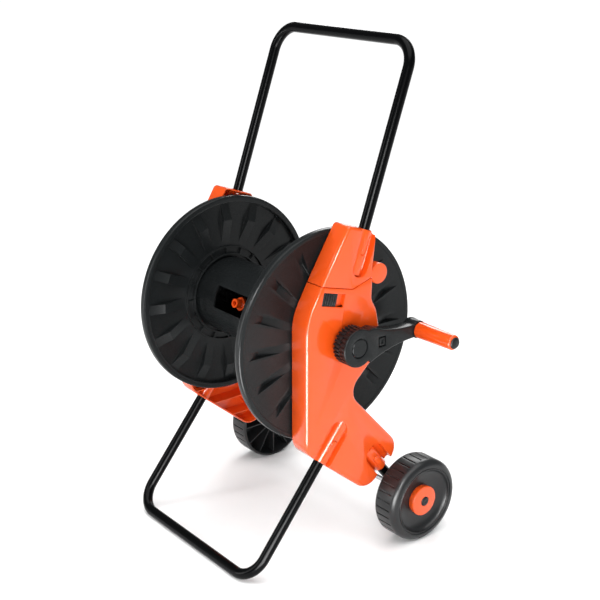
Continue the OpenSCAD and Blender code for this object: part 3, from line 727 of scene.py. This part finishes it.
@dataclass
class SideFrame(Cart):
    """One side: the lower frame, the handle socket above its seam, and the lock button."""

    wall: float = 3.0
    rib_t: float = 2.2
    slit: float = 1.1
    hub_r: float = 34.0
    bush_r: float = 16.2
    pin_r: float = 5.1
    gap: float = 0.6
    strut_arm: float = 89.0
    past: float = 2.0
    edge_r: float = 6.5
    front: float = -87.4
    recess_depth: float = 15.0
    socket_r: float = 14.4
    lug_split: float = 182.95
    lock_at: Point = (-34.5, 86.5)
    lock_tilt: float = math.radians(-14)
    lock_size: Point = (34.0, 23.0)
    lock_depth: float = 9.0
    lock_travel: float = 14.0
    lock_ribs: int = 6

    def frame_outline(self) -> list[Point]:
        """Outline of the lower frame in the side view."""
        n = Vector((math.cos(self.strut_lean), math.sin(self.strut_lean)))
        end = Vector(self.axle) - self.strut_d * self.strut_arm
        low, back = end - n * 57 + self.strut_d * 3, end + n * 54 + self.strut_d * 3
        return rounded(
            [
                (self.front, 54.7, 100), (self.front, -194, 40), (low.x, low.y, 34), (back.x, back.y, 32),
                (13, -102, 30), (93, -29, 20), (77, 46, 20), (65, 68, 20), (66.3, 98, 0), (60, 108, 0),
                (18, 95, 20), (-53.5, 113, 0),
            ]
        )

    def socket_outline(self) -> list[Point]:
        """Outline of the handle socket in the side view."""
        return rounded(
            [
                (-53, 114.2, 0), (18, 96.4, 20), (62, 110, 4), (70, 112, 0), (66.3, 129, 8),
                (69, 151, 60), (73.3, 191, 8), (8.3, 213, 8),
            ]
        )

    def solid(
        self, name: str, outline: list[Point], gap: float, seam: Callable[[Vector], bool]
    ) -> bpy.types.Object:
        """Makes the filled form of a shell with its rounded outer edge, smaller by a gap on every side.

        Args:
            name: name of the new piece.
            outline: its outline in the side view.
            gap: how much smaller the form is.
            seam: says if a point lies on the seam, where the edge stays sharp.

        Returns:
            The closed form.
        """
        face = self.side_out - gap
        piece = Workbench.plate(name, inset(outline, gap) if gap else outline, self.side_in + gap, face)

        def outer(a: Vector, b: Vector) -> bool:
            """Says if an edge lies on the outer face and off the seam."""
            return min(a.x, b.x) > face - 0.01 and not (seam(a) and seam(b))

        return Workbench.round_edges(piece, outer, self.edge_r - gap, 6)

    def shell(
        self, name: str, outline: list[Point], ribs: list[float], seam: Callable[[Vector], bool]
    ) -> bpy.types.Object:
        """Moulds a shell that is open on its inner side, with a rounded outer edge and ribs.

        Args:
            name: name of the new piece.
            outline: its outline in the side view.
            ribs: heights of its stiffening ribs.
            seam: says if a point lies on the seam, where the edge stays sharp.

        Returns:
            The closed shell.
        """
        piece = self.solid(name, outline, 0, seam)
        inner_face = self.side_out - self.wall
        hollow = Workbench.plate("hollow", inset(outline, self.wall), self.side_in - 5, inner_face)
        for z in ribs:
            across = rectangle(-200, 200, z, z + self.rib_t)
            slab = Workbench.plate("rib", across, self.side_in + 6, 300)
            Workbench.combine(hollow, [slab], "DIFFERENCE")
        return Workbench.combine(piece, [hollow], "DIFFERENCE")

    def recess(
        self, piece: bpy.types.Object, form: bpy.types.Object, end: Vector, d: Vector, hold: TubeHold
    ) -> None:
        """Sinks a round-ended recess into the outer face and lines it with a floor and walls.

        Args:
            piece: the shell.
            form: the shell's filled form, which bounds the lining.
            end: inner end of the tube.
            d: direction of the tube.
            hold: sizes of the recess.
        """
        p, length, left, right = end + d * hold.recess, hold.recess_length, hold.left, hold.right
        floor = self.side_out - self.recess_depth
        around = slot(p, d, length, left + 3.5, right + 4)
        lining = Workbench.plate("lining", around, floor - self.wall, self.side_out + 1)
        Workbench.combine(lining, [Workbench.copy(form, "bound", 0)], "INTERSECT")
        Workbench.combine(piece, [lining], "UNION")
        cut = Workbench.plate("cut", slot(p, d, length, left, right), floor, self.side_out + self.past)
        Workbench.round_edges(cut, lambda a, b: abs(a.x - floor) < 0.1 and abs(b.x - floor) < 0.1, 4, 3)
        Workbench.combine(piece, [cut], "DIFFERENCE")

    def tube_cover(
        self, piece: bpy.types.Object, form: bpy.types.Object | None, p: Vector, d: Vector, hold: TubeHold
    ) -> None:
        """Adds the half-round cover over a tube's end and bores it for the tube."""
        length = hold.cover
        a, b = place(self.tube_x, *(p - d * 3)), place(self.tube_x, *(p + d * length))
        cover = Workbench.rod("cover", a, b, self.socket_r, 40)
        if form:
            Workbench.combine(cover, [Workbench.copy(form, "bound", 0)], "INTERSECT")
        Workbench.combine(piece, [cover], "UNION")
        far = place(self.tube_x, *(p + d * (length + 60)))
        bore = Workbench.rod("bore", place(self.tube_x, *p), far, self.tube_r + 0.15, 40)
        Workbench.combine(piece, [bore], "DIFFERENCE")

    def tongue(self, piece: bpy.types.Object, end: Vector, d: Vector, hold: TubeHold) -> None:
        """Cuts the U-shaped slit that frees a snap tongue in a tube cover."""
        p, length, half = end + d * hold.tongue, hold.tongue_length, hold.tongue_width / 2
        x0, x1 = self.tube_x + self.socket_r - 2.2, self.tube_x + self.socket_r + 3
        outer = Workbench.plate("slit", slot(p, d, length, half, half), x0, x1)
        free = slot(p + d * self.slit, d, length + 5, half - self.slit, half - self.slit)
        inner = Workbench.plate("tongue", free, x0 - 1, x1 + 1)
        Workbench.combine(outer, [inner], "DIFFERENCE")
        Workbench.combine(piece, [outer], "DIFFERENCE")

    def tilted(self, corners: list[Point]) -> list[Point]:
        """Turns points drawn level round the lock button's middle to where they belong."""
        c, s = math.cos(self.lock_tilt), math.sin(self.lock_tilt)
        return [(self.lock_at[0] + y * c - z * s, self.lock_at[1] + y * s + z * c) for y, z in corners]

    def lock_box(self, name: str, grow: float, travel: float, x0: float, x1: float) -> bpy.types.Object:
        """Makes the tilted block of the lock button, or of its recess, between two stations."""
        w, h = self.lock_size
        corners = rectangle(-w / 2 - grow, w / 2 + grow + travel, -h / 2 - grow, h / 2 + grow)
        return Workbench.plate(name, self.tilted(corners), x0, x1)

    def lower(self) -> bpy.types.Object:
        """Makes the lower frame of the right-hand side."""

        def seam(p: Vector) -> bool:
            """Says if a point lies on the seam under the handle socket."""
            return p.z > 93 and p.y < 67

        outline = self.frame_outline()
        ribs = [-280 + 38 * i for i in range(10)]
        piece = self.shell("side_frame_shell", outline, ribs, seam)
        form = self.solid("form", outline, 0.15, seam)
        leg = (Vector(self.leg_end), self.leg_d, LEG_HOLD)
        strut = (self.strut_end, self.strut_d, STRUT_HOLD)
        boss = Workbench.disc("boss", self.side_in, self.side_out - 1, self.hub_r)
        Workbench.combine(piece, [boss], "UNION")
        lock_floor = self.side_out - self.lock_depth
        block = self.lock_box("block", 3, self.lock_travel, lock_floor - self.wall, self.side_out - 1)
        Workbench.combine(piece, [block], "UNION")
        self.recess(piece, form, *leg)
        self.recess(piece, form, *strut)
        self.tube_cover(piece, form, *leg)
        self.tube_cover(piece, None, *strut)
        bpy.data.objects.remove(form)
        self.tongue(piece, *leg)
        self.tongue(piece, *strut)
        outside = self.side_out + self.past
        pocket = self.lock_box("pocket", 0.5, self.lock_travel + 1, lock_floor, outside)
        hub = Workbench.disc("hub", self.side_in - self.past, outside, self.bush_r)
        around = Workbench.disc("around", self.lug_split, outside, self.pivot_r + self.gap, self.pivot)
        Workbench.combine(piece, [pocket, hub, around], "DIFFERENCE")
        lug = Workbench.disc("lug", self.side_in + 0.4, self.lug_split, self.pivot_r, self.pivot)
        neck = rounded([(50, 62, 6), (64, 60, 6), (92, 108, 10), (74, 122, 10)])
        arm = Workbench.plate("lug_neck", neck, self.side_in + 0.4, self.lug_split)
        Workbench.combine(lug, [arm], "UNION")
        Workbench.combine(piece, [lug], "UNION")
        inside, through = self.side_in - self.past, self.lug_split + self.past
        pin = Workbench.disc("pin_hole", inside, through, self.pin_r, self.pivot)
        return Workbench.combine(piece, [pin], "DIFFERENCE")

    def socket(self) -> bpy.types.Object:
        """Makes the handle socket of the right-hand side."""

        def seam(p: Vector) -> bool:
            """Says if a point lies on the seam over the lower frame."""
            return p.z < 115

        outline = self.socket_outline()
        piece = self.shell("handle_socket_shell", outline, [128, 158, 188], seam)
        form = self.solid("form", outline, 0.15, seam)
        handle = (Vector(self.handle_end), self.handle_d, HANDLE_HOLD)
        self.recess(piece, form, *handle)
        self.tube_cover(piece, form, *handle)
        bpy.data.objects.remove(form)
        self.tongue(piece, *handle)
        split = self.lug_split + self.gap
        under = Workbench.disc("under", self.side_in - 1, split, self.pivot_r + self.gap, self.pivot)
        Workbench.combine(piece, [under], "DIFFERENCE")
        disc = Workbench.disc("hinge_disc", split, self.side_out, self.pivot_r, self.pivot)
        Workbench.round_edges(disc, lambda a, b: min(a.x, b.x) > self.side_out - 0.1, 1.5, 3)
        neck = rounded([(54, 119, 3), (66, 105, 3), (80, 110, 3), (72, 130, 3)])
        arm = Workbench.plate("disc_neck", neck, split, self.side_out - 1)
        Workbench.combine(disc, [arm], "UNION")
        Workbench.combine(piece, [disc], "UNION")
        pin = Workbench.disc("pin_hole", self.lug_split, self.side_out - 3.6, 5.06, self.pivot)
        return Workbench.combine(piece, [pin], "DIFFERENCE")

    def button(self) -> bpy.types.Object:
        """Makes the lock button of the right-hand side: a flat block with raised ribs."""
        floor = self.side_out - self.lock_depth
        piece = self.lock_box("lock_slider", 0, 0, floor + 0.3, self.side_out - 2.5)
        w, h = self.lock_size
        pitch, shy = w / self.lock_ribs, 0.02
        for i in range(self.lock_ribs):
            y0, y1 = -w / 2 + pitch * i + shy, -w / 2 + pitch * (i + 0.52)
            points = self.tilted(rectangle(y0, y1, shy - h / 2, h / 2 - shy))
            Workbench.combine(piece, [Workbench.plate("rib", points, floor + 2, self.side_out)], "UNION")
        return piece

    def build(self) -> None:
        """Makes and dresses both sides."""
        lower = Workbench.finish(self.lower(), 0.7)
        socket = Workbench.finish(self.socket(), 0.7)
        button = Workbench.finish(self.button(), 0.3, 1)
        left = [Workbench.mirrored(part, part.name + "_left") for part in (lower, socket, button)]
        for side, parts in ((Side.RIGHT, (lower, socket, button)), (Side.LEFT, left)):
            dress(parts[0], ORANGE, "frame_plastic", "frame", f"side_frame_{side.word}")
            dress(parts[1], ORANGE, "frame_plastic", "handle", f"handle_socket_{side.word}")
            dress(parts[2], BLACK, "black_plastic", "lock_" + side.word[0], f"lock_button_{side.word}")


@dataclass
class Drum(Cart):
    """The two flanges with their pressed ridges."""

    web_in: float = 158.25
    web_out: float = 161.25
    rim_w: float = 12.0
    ridges: int = 16
    ridge_w: float = 19.0
    ridge_wall: float = 2.2
    ridge_tip: float = 147.5
    ridge_r0: float = 103.0
    ridge_r1: float = 152.0
    ridge_r2: float = 186.0

    def disc_and_rim(self) -> bpy.types.Object:
        """Turns the flange's disc with its hub, core collar, ring rib and rounded rim."""
        r, a, b = self.flange_r, self.flange_in, self.flange_out
        face = self.web_in
        profile = [
            (self.web_out, 12.1), (a - 12, 12.1), (a - 12, 18), (face, 18), (face, 80), (a + 3, 80),
            (a + 3, 83), (face, 83), (face, 95), (face - 5, 95), (face - 5, 97.2), (face, 97.2),
            (face, r - self.rim_w), (a + 1, r - self.rim_w), (a + 0.4, r - self.rim_w + 0.6),
            (a, r - self.rim_w + 1.5), (a, r - 4),
            (a + 0.5, r - 2), (a + 1.8, r - 0.6), (a + 3.5, r), (b - 3.5, r), (b - 1.8, r - 0.6),
            (b - 0.5, r - 2), (b, r - 4), (b, r - 9), (self.web_out, r - 10),
        ]
        return Workbench.turned("flange", profile, steps=160)

    def ridge(self, name: str, base: float, wall: float) -> bpy.types.Object:
        """Makes the wedge of one ridge, or of the pocket inside it, lying along +y.

        Args:
            name: name of the new piece.
            base: where the wedge's back stands along the axles.
            wall: thickness taken off every side, 0 for the ridge itself.

        Returns:
            The closed wedge.
        """
        width, tip = self.ridge_w - 2 * wall, self.ridge_tip + wall
        r0, r1, r2 = self.ridge_r0 + 3 * wall, self.ridge_r1, self.ridge_r2 - 3.5 * wall
        steps = [(tip - base, r1 - r0, 0), (base - tip, r2 - r1, 0)]
        piece = Workbench.draw(name, place(base, r0, -width / 2), steps)
        bpy.ops.mesh.extrude_region_move(TRANSFORM_OT_translate={"value": (0, 0, width * MM)})
        return Workbench.right_way_out(piece)

    def flange(self) -> bpy.types.Object:
        """Makes the right-hand flange."""
        piece = self.disc_and_rim()
        ridges = Workbench.ring(self.ridge("ridge", self.web_in + 0.5, 0), self.ridges)
        ray = Workbench.plate("ray", rectangle(82, 96, -1.1, 1.1), self.web_in - 5, self.web_in + 1)
        Workbench.combine(piece, [ridges, Workbench.ring(ray, self.ridges)], "UNION")
        pockets = Workbench.ring(self.ridge("pocket", self.web_out + 0.3, self.ridge_wall), self.ridges)
        return Workbench.combine(piece, [pockets], "DIFFERENCE")

    def build(self) -> None:
        """Makes and dresses both flanges."""
        right = Workbench.finish(self.flange(), 0.25, 1, 25)
        left = Workbench.mirrored(right, "flange_twin")
        dress(right, GREY, "drum_plastic", "drum", "flange_right")
        dress(left, GREY, "drum_plastic", "drum", "flange_left")


@dataclass
class Wheels(Cart):
    """The wheels with their grooved treads and bowls, the hub caps and the push-on axle caps."""

    wheel_r: float = 82.7
    wheel_in: float = 210.95
    cap_x: float = 264.95
    dish_r: float = 37.0
    hub_cap_r: float = 30.0
    bowl_r: float = 64.0
    grooves: int = 32
    groove_half: float = 1.3
    spokes: int = 12
    spoke_half: float = 1.2

    def wheel(self) -> bpy.types.Object:
        """Makes the right-hand wheel."""
        r, a, face = self.wheel_r, self.wheel_in, self.cap_x
        dish = face - 15
        quarter = [math.pi / 2 * i / 10 for i in range(11)]
        deep, wide = face - 1 - dish, self.bowl_r - self.dish_r
        bowl = [(dish + deep * (1 - math.cos(t)), self.dish_r + wide * math.sin(t)) for t in quarter]
        shoulder = [(a + 41 + 13 * math.sin(t), r - 13 + 13 * math.cos(t)) for t in quarter]
        profile = [
            (dish, 9.1), (a + 2, 9.1), (a + 2, 20), (dish - 4, 20), (dish - 4, self.dish_r + 6),
            (face - 9, self.bowl_r + 3), (face - 9, r - 8), (a + 40, r - 5), (a, r - 5), (a, r - 3),
            (a + 1, r - 1.2), (a + 4, r), *shoulder, (face, self.bowl_r + 4.5),
            (face - 2.2, self.bowl_r + 4.3), (face - 2.2, self.bowl_r + 2.2),
            (face - 0.5, self.bowl_r + 1.6), *reversed(bowl),
        ]
        piece = Workbench.turned("wheel", profile, self.axle, 160)
        y, z = self.axle
        groove = rectangle(y - self.groove_half, y + self.groove_half, z + r - 2.2, z + r + 2)
        block = Workbench.plate("groove", groove, a + 6, a + 40)
        Workbench.combine(piece, [Workbench.ring(block, self.grooves, self.axle)], "DIFFERENCE")
        blade = rectangle(y - self.spoke_half, y + self.spoke_half, z + 19, z + r - 4.5)
        spoke = Workbench.plate("spoke", blade, a + 5, dish - 3)
        return Workbench.combine(piece, [Workbench.ring(spoke, self.spokes, self.axle)], "UNION")

    def hub_cap(self) -> bpy.types.Object:
        """Makes the orange cap in the bowl, gently crowned."""
        x, r = self.cap_x, self.hub_cap_r
        crown = [(x - 2.2 + 1.6 * (1 - (s / (r - 1)) ** 2), s) for s in (r - 1, 25, 20, 15, 12)]
        profile = [(x - 15, 9.7), (x - 15, r - 1), (x - 4, r), (x - 2.8, r - 0.3), *crown, (x - 0.7, 9.7)]
        return Workbench.turned("hub_cap", profile, self.axle, 128)

    def axle_cap(self) -> bpy.types.Object:
        """Makes the black push-on cap in the middle of the hub cap."""
        x = self.cap_x
        profile = [
            (x - 14, 6.2), (x - 14, 9), (x - 0.6, 9), (x + 0.5, 8.2), (x + 1, 6.5), (x + 1, 2),
            (x + 0.2, 0.05), (x - 5.7, 0.05), (x - 5.7, 6.2),
        ]
        return Workbench.turned("axle_cap", profile, self.axle, 48)

    def build(self) -> None:
        """Makes and dresses both wheels and their caps."""
        wheel = Workbench.finish(self.wheel(), 0.5)
        cap = Workbench.finish(self.hub_cap(), 0.3)
        plug = Workbench.finish(self.axle_cap(), 0)
        twins = [Workbench.mirrored(part, part.name + "_left") for part in (wheel, cap, plug)]
        dress(wheel, WHEEL, "wheel_plastic", "wheel_r", "wheel_right")
        dress(twins[0], WHEEL, "wheel_plastic", "wheel_l", "wheel_left")
        dress(cap, ORANGE, "frame_plastic", "wheel_r", "hub_cap_right")
        dress(twins[1], ORANGE, "frame_plastic", "wheel_l", "hub_cap_left")
        dress(Workbench.join([plug, twins[2]]), BLACK, "black_plastic", "frame", "axle_caps")


@dataclass
class Crank(Cart):
    """The crank: ribbed hub, arm, centre cap, latch, grip and its plug."""

    hub_r: float = 35.5
    hub_in: float = 214.95
    face: float = 247.95
    arm_t: float = 24.0
    reach: float = 145.0
    tilt: float = math.radians(1)
    boss_r: float = 17.0
    bore_r: float = 12.1
    ribs: int = 28
    notches: int = 19
    latch_at: float = 53.0
    grip_in: float = 248.95
    grip_out: float = 336.95

    @property
    def end(self) -> Point:
        """Middle of the end boss in the side view."""
        return (self.reach * math.cos(self.tilt), self.reach * math.sin(self.tilt))

    def outline(self) -> list[Point]:
        """Outline of the arm: round hub, waisted arm and round end boss."""
        ts = [i / 14 for i in range(15)]
        half = [(26 + (self.reach - 30) * t, 12.4 + (self.hub_r - 14.5) * (1 - t) ** 2.4) for t in ts]
        first = math.atan2(half[0][1], half[0][0])
        hub = [first + (2 * math.pi - 2 * first) * i / 40 for i in range(41)]
        round_hub = [(self.hub_r * math.cos(t), self.hub_r * math.sin(t)) for t in hub]
        boss = [math.radians(-125 + 250 * i / 24) for i in range(25)]
        round_boss = [(self.reach + self.boss_r * math.cos(t), self.boss_r * math.sin(t)) for t in boss]
        lower = [(y, -z) for y, z in half]
        return round_hub + lower[:-1] + round_boss + half[::-1][1:-1]

    def level(self, piece: bpy.types.Object) -> bpy.types.Object:
        """Turns a piece drawn level to the crank's resting angle."""
        twin = Workbench.copy(piece, piece.name, self.tilt)
        bpy.data.objects.remove(piece)
        return twin

    def hub(self) -> bpy.types.Object:
        """Makes the ribbed hub behind the arm."""
        x0, x1, r = self.hub_in, self.face - self.arm_t + 8, self.hub_r
        profile = [(x0, self.bore_r), (x0, r - 4), (x0 + 2, r - 3), (x1, r - 3), (x1, self.bore_r)]
        piece = Workbench.turned("crank_drum", profile)
        rib = Workbench.plate("rib", [(r - 4, -2.1), (r, -1.9), (r, 1.9), (r - 4, 2.1)], x0 + 1.2, x1)
        return Workbench.combine(piece, [Workbench.ring(rib, self.ribs)], "UNION")

    def arm(self) -> bpy.types.Object:
        """Makes the arm with its ribbed skirt, end boss, cap groove and latch window."""
        back = self.face - self.arm_t
        piece = Workbench.plate("crank_lever", self.outline(), back + 0.1, self.face)
        Workbench.round_edges(piece, lambda a, b: min(a.x, b.x) > self.face - 0.1, 2.2, 4)
        boss = Workbench.disc("boss", back - 4, self.face - 0.5, self.boss_r, (self.reach, 0))
        Workbench.combine(piece, [boss], "UNION")
        relief = Workbench.disc("relief", back - 6, back + 8.1, self.hub_r + 0.8)
        edge = rectangle(self.hub_r - 1.6, self.hub_r + 3, -1.6, 1.6)
        skirt_cut = Workbench.plate("notch", edge, back + 6, self.face - 4)
        start, sweep = math.radians(58), math.radians(244)
        turns = [start + sweep * i / (self.notches - 1) for i in range(self.notches)]
        notches = [Workbench.copy(skirt_cut, f"notch_{i}", turn) for i, turn in enumerate(turns)]
        bpy.data.objects.remove(skirt_cut)
        spindle = Workbench.disc("spindle", back - 6, self.face + 1, 5.1, (self.reach, 0))
        well = Workbench.disc("well", self.face - 4, self.face + 1, 18.6)
        journal = Workbench.disc("journal", back - 1, self.face + 1, self.bore_r)
        opening = soft_rectangle(9, 10, self.latch_at, 1.5, 3)
        window = Workbench.plate("window", opening, self.face - 6, self.face + 1)
        cuts = [relief, Workbench.join(notches), spindle, well, journal, window]
        return self.level(Workbench.combine(piece, cuts, "DIFFERENCE"))

    def cap(self) -> bpy.types.Object:
        """Makes the flat cap in the middle of the hub."""
        x = self.face
        profile = [(x - 4, 0.05), (x - 4, 16.4), (x - 0.7, 16.4), (x - 0.1, 15.8), (x, 0.05)]
        return Workbench.turned("crank_centre_cap", profile)

    def latch(self) -> bpy.types.Object:
        """Makes the square latch inside the arm's window."""
        outline = soft_rectangle(6.2, 7.2, self.latch_at, 1.2, 3)
        piece = Workbench.plate("crank_snap", outline, self.face - 6, self.face - 0.5)
        dip = Workbench.plate("dip", soft_rectangle(3, 4, self.latch_at, 1, 2), self.face - 3, self.face + 1)
        return self.level(Workbench.combine(piece, [dip], "DIFFERENCE"))

    def grip(self) -> bpy.types.Object:
        """Turns the tapered grip."""
        a, b, r = self.grip_in, self.grip_out, 16
        ends = [math.pi / 2 * i / 6 for i in range(7)]
        nose = [(b - 4 + 4 * math.sin(t), r - 6 + 4 * math.cos(t)) for t in ends]
        profile = [
            (a, 5.06), (a, r - 2), (a + 0.6, r - 0.6), (a + 2, r), *nose,
            (b, 10.9), (b - 8, 10.9), (b - 8, 5.06),
        ]
        return Workbench.turned("grip_sleeve", profile, self.end, 72)

    def plug(self) -> bpy.types.Object:
        """Turns the black plug in the grip's end."""
        b = self.grip_out
        profile = [
            (b - 5.5, 0.05), (b - 5.5, 10.8), (b + 1, 10.8), (b + 2.6, 9.6), (b + 3.7, 7), (b + 4, 0.05)
        ]
        return Workbench.turned("grip_end_plug", profile, self.end, 48)

    def build(self) -> None:
        """Makes and dresses the crank."""
        parts = (
            (self.hub(), "crank_hub", 0.5),
            (self.arm(), "crank_arm", 0.4),
            (self.cap(), "crank_cap", 0),
            (self.latch(), "crank_latch", 0.3),
        )
        for piece, node, edge in parts:
            dress(Workbench.finish(piece, edge), GREY, "drum_plastic", "drum", node)
        dress(Workbench.finish(self.grip(), 0), ORANGE, "frame_plastic", "grip", "crank_grip")
        dress(Workbench.finish(self.plug(), 0), BLACK, "black_plastic", "grip", "grip_plug")


# ---- Studio ----


@dataclass
class Studio:
    """Pale floor, soft lights and the camera.

    The camera's places are in millimetres from the drum's middle, the lights' in metres of the frame.
    """

    eye: tuple[float, float, float] = (1658.6, -1265.8, 730.3)
    target: tuple[float, float, float] = (24.4, 43.7, 22.4)
    lens: float = 69.16
    ambient: float = 0.20

    def camera(self) -> None:
        """Stands the camera where the cart is seen from."""
        eye, target = place(*self.eye), place(*self.target)
        turn = (target - eye).to_track_quat("-Z", "Y").to_euler()
        bpy.ops.object.camera_add(location=eye, rotation=turn)
        camera = bpy.context.object
        camera.data.lens, camera.data.sensor_width = self.lens, 36
        camera.data.clip_end = 50
        bpy.context.scene.camera = camera

    def floor(self) -> None:
        """Lays the floor just under the cart."""
        Workbench.clear()
        bpy.ops.mesh.primitive_plane_add(size=40, location=(0, 0, -0.0002))
        floor = bpy.context.object
        floor.name = "floor"
        finish = Finish("pale_floor", (0.95, 0.95, 0.95), 0.85, 0.03, 40, 0.0, mottle=0.01, shine=0.1)
        floor.data.materials.append(finish.material())

    @staticmethod
    def softbox(
        name: str, at: Corner, size: Point, power: float, aim: float = 0.45, glints: bool = False
    ) -> None:
        """Adds one soft box that looks at the cart.

        Args:
            name: name of the light.
            at: where it stands.
            size: its width and height.
            power: its power in watts.
            aim: height that it looks at.
            glints: True for a light that is only seen in reflections.
        """
        spot = Vector(at)
        turn = (Vector((0, 0, aim)) - spot).to_track_quat("-Z", "Y").to_euler()
        bpy.ops.object.light_add(type="AREA", location=spot, rotation=turn)
        lamp = bpy.context.object
        lamp.name, lamp.data.shape, lamp.data.energy = name, "RECTANGLE", power
        lamp.data.size, lamp.data.size_y = size
        lamp.visible_camera = False
        lamp.visible_diffuse = not glints

    @staticmethod
    def sky(name: str, towards: tuple[float, float, float], strength: float, spread: float) -> None:
        """Adds an even light that comes from a direction, spread over an angle in degrees."""
        turn = Vector(towards).to_track_quat("Z", "Y").to_euler()
        bpy.ops.object.light_add(type="SUN", location=(0, 0, 3), rotation=turn)
        lamp = bpy.context.object
        lamp.name, lamp.data.energy, lamp.data.angle = name, strength, math.radians(spread)

    def build(self) -> None:
        """Sets up the whole studio."""
        world = bpy.data.worlds.new("studio")
        bpy.context.scene.world = world
        world.use_nodes = True
        tree = world.node_tree
        room = tree.nodes["Background"]
        room.inputs["Color"].default_value = (1, 1, 1, 1)
        seen = tree.nodes.new("ShaderNodeLightPath").outputs["Is Camera Ray"]
        strength = tree.nodes.new("ShaderNodeMapRange")
        strength.inputs["To Min"].default_value = self.ambient
        strength.inputs["To Max"].default_value = 1.0
        tree.links.new(seen, strength.inputs["Value"])
        tree.links.new(strength.outputs["Result"], room.inputs["Strength"])
        bpy.context.scene.view_settings.view_transform = "Standard"
        self.floor()
        self.sky("overhead", (0.15, -0.1, 1), 3.0, 70)
        self.softbox("key", (1.15, -0.72, 0.5), (0.32, 0.95), 11)
        self.softbox("edge_glint", (0.451, -0.449, 0.17), (0.35, 0.34), 9, 0.37, glints=True)
        self.softbox("slant_glint", (0.87, -0.65, 0.94), (0.30, 0.30), 9, 0.6, glints=True)
        self.softbox("left_strip", (-0.9, -1.7, 0.8), (0.25, 1.5), 14)
        self.softbox("rear", (-1.2, 1.6, 1.5), (1.2, 0.8), 20)
        self.camera()


def main() -> None:
    """Builds the cart and its studio."""
    logging.basicConfig(level=logging.INFO, format="%(name)s %(message)s")
    dress_frame_nodes()
    Studio().build()
    for assembly in (Tubes(), SideFrame(), Drum(), Wheels(), Crank()):
        assembly.build()
    Workbench.clear()


if __name__ == "__main__":
    main()
